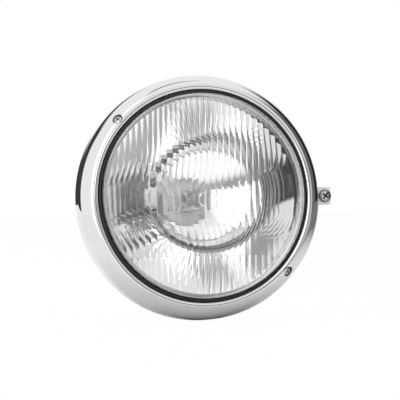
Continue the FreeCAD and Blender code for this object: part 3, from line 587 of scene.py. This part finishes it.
# Floor.
FLOOR_TILT = 4.5
FLOOR_LEFT = -0.75
FLOOR_FRONT = -0.5
FLOOR_REACH = 6.0
FLOOR_GAP = 0.001
FLOOR_HINGE = 0.4
# Shares of the floor's glow: painted light in reflections and through the glass, and an even white to the
# camera.
MIRROR_SHARE = 0.85
GLASS_SHARE = 0.9
CAMERA_SHARE = 0.985
floor_corners = [(FLOOR_LEFT, FLOOR_FRONT, 0), (FLOOR_REACH, FLOOR_FRONT, 0),
                 (FLOOR_REACH, FLOOR_REACH, 0), (FLOOR_LEFT, FLOOR_REACH, 0)]
floor_mesh = bpy.data.meshes.new("floor")
floor_mesh.from_pydata(floor_corners, [], [(0, 1, 2, 3)])
floor = bpy.data.objects.new("floor", floor_mesh)
scene.collection.objects.link(floor)
floor.matrix_world = (Matrix.Translation((0, rim_low[1] * FLOOR_HINGE, rim_low[2] - FLOOR_GAP))
                      @ Matrix.Rotation(math.radians(FLOOR_TILT), 4, "X"))


def floor_material():
    """Pale matt floor that the camera sees almost white; its base colour darkens to the right as painted
    shade, and it glows as painted light in reflections and through the glass.
    """
    made = material("pale_floor", (0.8, 0.8, 0.8), 0.0, 0.7, 0.0)
    tree = made.node_tree
    shader = tree.nodes["Principled BSDF"]
    place = node(tree, "ShaderNodeTexCoord").outputs["Object"]
    split = node(tree, "ShaderNodeSeparateXYZ")
    tree.links.new(place, split.inputs["Vector"])
    right = split.outputs["X"]
    length = node(tree, "ShaderNodeVectorMath", operation="LENGTH")
    tree.links.new(place, length.inputs[0])
    away = length.outputs["Value"]
    # Painted shade: the base colour falls from 0.8 to 0.2 towards the floor's right side.
    tree.links.new(ramp(tree, right, 0.05, 0.5, 0.8, 0.2), shader.inputs["Base Color"])
    seen = node(tree, "ShaderNodeLightPath").outputs
    # Painted light: the floor glows in reflections, fading to the right and near the lamp, and glows
    # brighter near the lamp through the glass.
    sideways = ramp(tree, right, 0.0, 0.5, MIRROR_SHARE, 0.0)
    lit = calculate(tree, "MULTIPLY", sideways, ramp(tree, away, 0.03, 0.2))
    mirrored = calculate(tree, "MULTIPLY", seen["Is Glossy Ray"], lit)
    through = calculate(tree, "MULTIPLY_ADD", seen["Is Transmission Ray"], GLASS_SHARE, mirrored)
    share = calculate(tree, "MULTIPLY_ADD", seen["Is Camera Ray"], CAMERA_SHARE, through)
    change = ramp(tree, away, 0.15, 0.3, 0.3, -0.6)
    strength = calculate(tree, "MULTIPLY_ADD", seen["Is Transmission Ray"], change, 1.0)
    glow = node(tree, "ShaderNodeEmission")
    tree.links.new(strength, glow.inputs["Strength"])
    blend = node(tree, "ShaderNodeMixShader")
    tree.links.new(share, blend.inputs["Fac"])
    tree.links.new(shader.outputs["BSDF"], blend.inputs[1])
    tree.links.new(glow.outputs["Emission"], blend.inputs[2])
    tree.links.new(blend.outputs["Shader"], tree.nodes["Material Output"].inputs["Surface"])
    return made


floor_mesh.materials.append(floor_material())


# Studio light: a white room with soft panels.
PANEL_SIZES = ("Azimuth", "Elevation", "Half Width", "Half Height", "Softness")


def panel_group():
    """How far a direction lies inside a soft-edged panel, whose place and size are in degrees."""
    tree = bpy.data.node_groups.new("panel", "ShaderNodeTree")
    tree.interface.new_socket("Direction", in_out="INPUT", socket_type="NodeSocketVector")
    for name in PANEL_SIZES:
        tree.interface.new_socket(name, in_out="INPUT", socket_type="NodeSocketFloat")
    tree.interface.new_socket("Inside", in_out="OUTPUT", socket_type="NodeSocketFloat")
    entry = node(tree, "NodeGroupInput")
    leave = node(tree, "NodeGroupOutput")

    def edge(distance, half):
        outside = calculate(tree, "ADD", half, entry.outputs["Softness"])
        within = calculate(tree, "SUBTRACT", half, entry.outputs["Softness"])
        return ramp(tree, distance, outside, within)

    split = node(tree, "ShaderNodeSeparateXYZ")
    tree.links.new(entry.outputs["Direction"], split.inputs["Vector"])
    front = calculate(tree, "MULTIPLY", split.outputs["Y"], -1.0)
    azimuth = calculate(tree, "DEGREES", calculate(tree, "ARCTAN2", split.outputs["X"], front))
    elevation = calculate(tree, "DEGREES", calculate(tree, "ARCSINE", split.outputs["Z"]))
    turned = calculate(tree, "SUBTRACT", azimuth, entry.outputs["Azimuth"])
    aside = calculate(tree, "WRAP", turned, 180.0, -180.0)
    above = calculate(tree, "SUBTRACT", elevation, entry.outputs["Elevation"])
    across = edge(calculate(tree, "ABSOLUTE", aside), entry.outputs["Half Width"])
    upright = edge(calculate(tree, "ABSOLUTE", above), entry.outputs["Half Height"])
    tree.links.new(calculate(tree, "MULTIPLY", across, upright), leave.inputs["Inside"])
    return tree


# Each panel: azimuth, elevation, half width, half height, softness in degrees, then brightness.
PANELS = (
    ("front_wall", 0, 10, 70, 32, 8, 0.88),
    ("left_softbox", -95, 25, 42, 32, 4, 1.0),
    ("left_front_softbox", -42, 10, 16, 50, 3, 1.9),
    ("right_dark", 92, 18, 48, 26, 8, 0.15),
    ("right_darkest", 124, 19, 13, 23, 6, 0.015),
    ("back_left_dark", -158, 13, 20, 22, 4, 0.05),
    ("ceiling_gap", -165, 77, 80, 2.5, 1.5, 0.2),
    ("front_low_grey", -6, -12.5, 10, 3, 1.5, 0.35),
    ("front_strip", -7, -6, 7, 3.5, 0.8, 1.25),
    ("front_card", -2, 9, 5, 5, 0.8, 1.7),
    ("camera_shade", -12, 2, 4, 5.5, 1.5, 0.4),
    ("right_front_grey", 33, 1, 15, 9, 2, 0.6),
    ("front_dark", 11.5, -0.5, 8, 6.5, 0.8, 0.005),
)
world = bpy.data.worlds.new("studio")
scene.world = world
world.use_nodes = True
tree = world.node_tree
place = node(tree, "ShaderNodeTexCoord")
group = panel_group()
base = node(tree, "ShaderNodeValue")
base.outputs["Value"].default_value = 1.0
light = base.outputs["Value"]
for name, *sizes, brightness in PANELS:
    inside = node(tree, "ShaderNodeGroup", node_tree=group, label=name)
    tree.links.new(place.outputs["Generated"], inside.inputs["Direction"])
    for socket, size in zip(PANEL_SIZES, sizes):
        inside.inputs[socket].default_value = size
    mix = node(tree, "ShaderNodeMix", data_type="FLOAT")
    mix.inputs["B"].default_value = brightness
    tree.links.new(inside.outputs["Inside"], mix.inputs["Factor"])
    tree.links.new(light, mix.inputs["A"])
    light = mix.outputs["Result"]
light_path = node(tree, "ShaderNodeLightPath")
white = node(tree, "ShaderNodeMix", data_type="FLOAT")
white.inputs["B"].default_value = 1.0
tree.links.new(light_path.outputs["Is Camera Ray"], white.inputs["Factor"])
tree.links.new(light, white.inputs["A"])
tree.links.new(white.outputs["Result"], tree.nodes["Background"].inputs["Color"])

# Camera.
AZIMUTH = -12.5
ELEVATION = -4.0
ROLL = 1.8
DISTANCE = 1.9
SPAN = 0.304
azimuth = math.radians(AZIMUTH)
elevation = math.radians(ELEVATION)
level = math.cos(elevation)
back = Vector((math.sin(azimuth) * level, -math.cos(azimuth) * level, math.sin(elevation)))
aim = Vector((0, rim_low[1], 0))
camera = bpy.data.objects.new("camera", bpy.data.cameras.new("camera"))
scene.collection.objects.link(camera)
camera.location = aim + back * DISTANCE
turned = (-back).to_track_quat("-Z", "Y").to_matrix() @ Matrix.Rotation(math.radians(-ROLL), 3, "Z")
camera.rotation_euler = turned.to_euler()
camera.data.lens = camera.data.sensor_width * DISTANCE / SPAN
camera.data.shift_x = -0.00975
camera.data.shift_y = -0.0114
scene.camera = camera
scene.view_settings.view_transform = "Standard"
scene.cycles.max_bounces = 20
scene.cycles.glossy_bounces = 10
scene.cycles.transmission_bounces = 14
scene.cycles.use_denoising = True
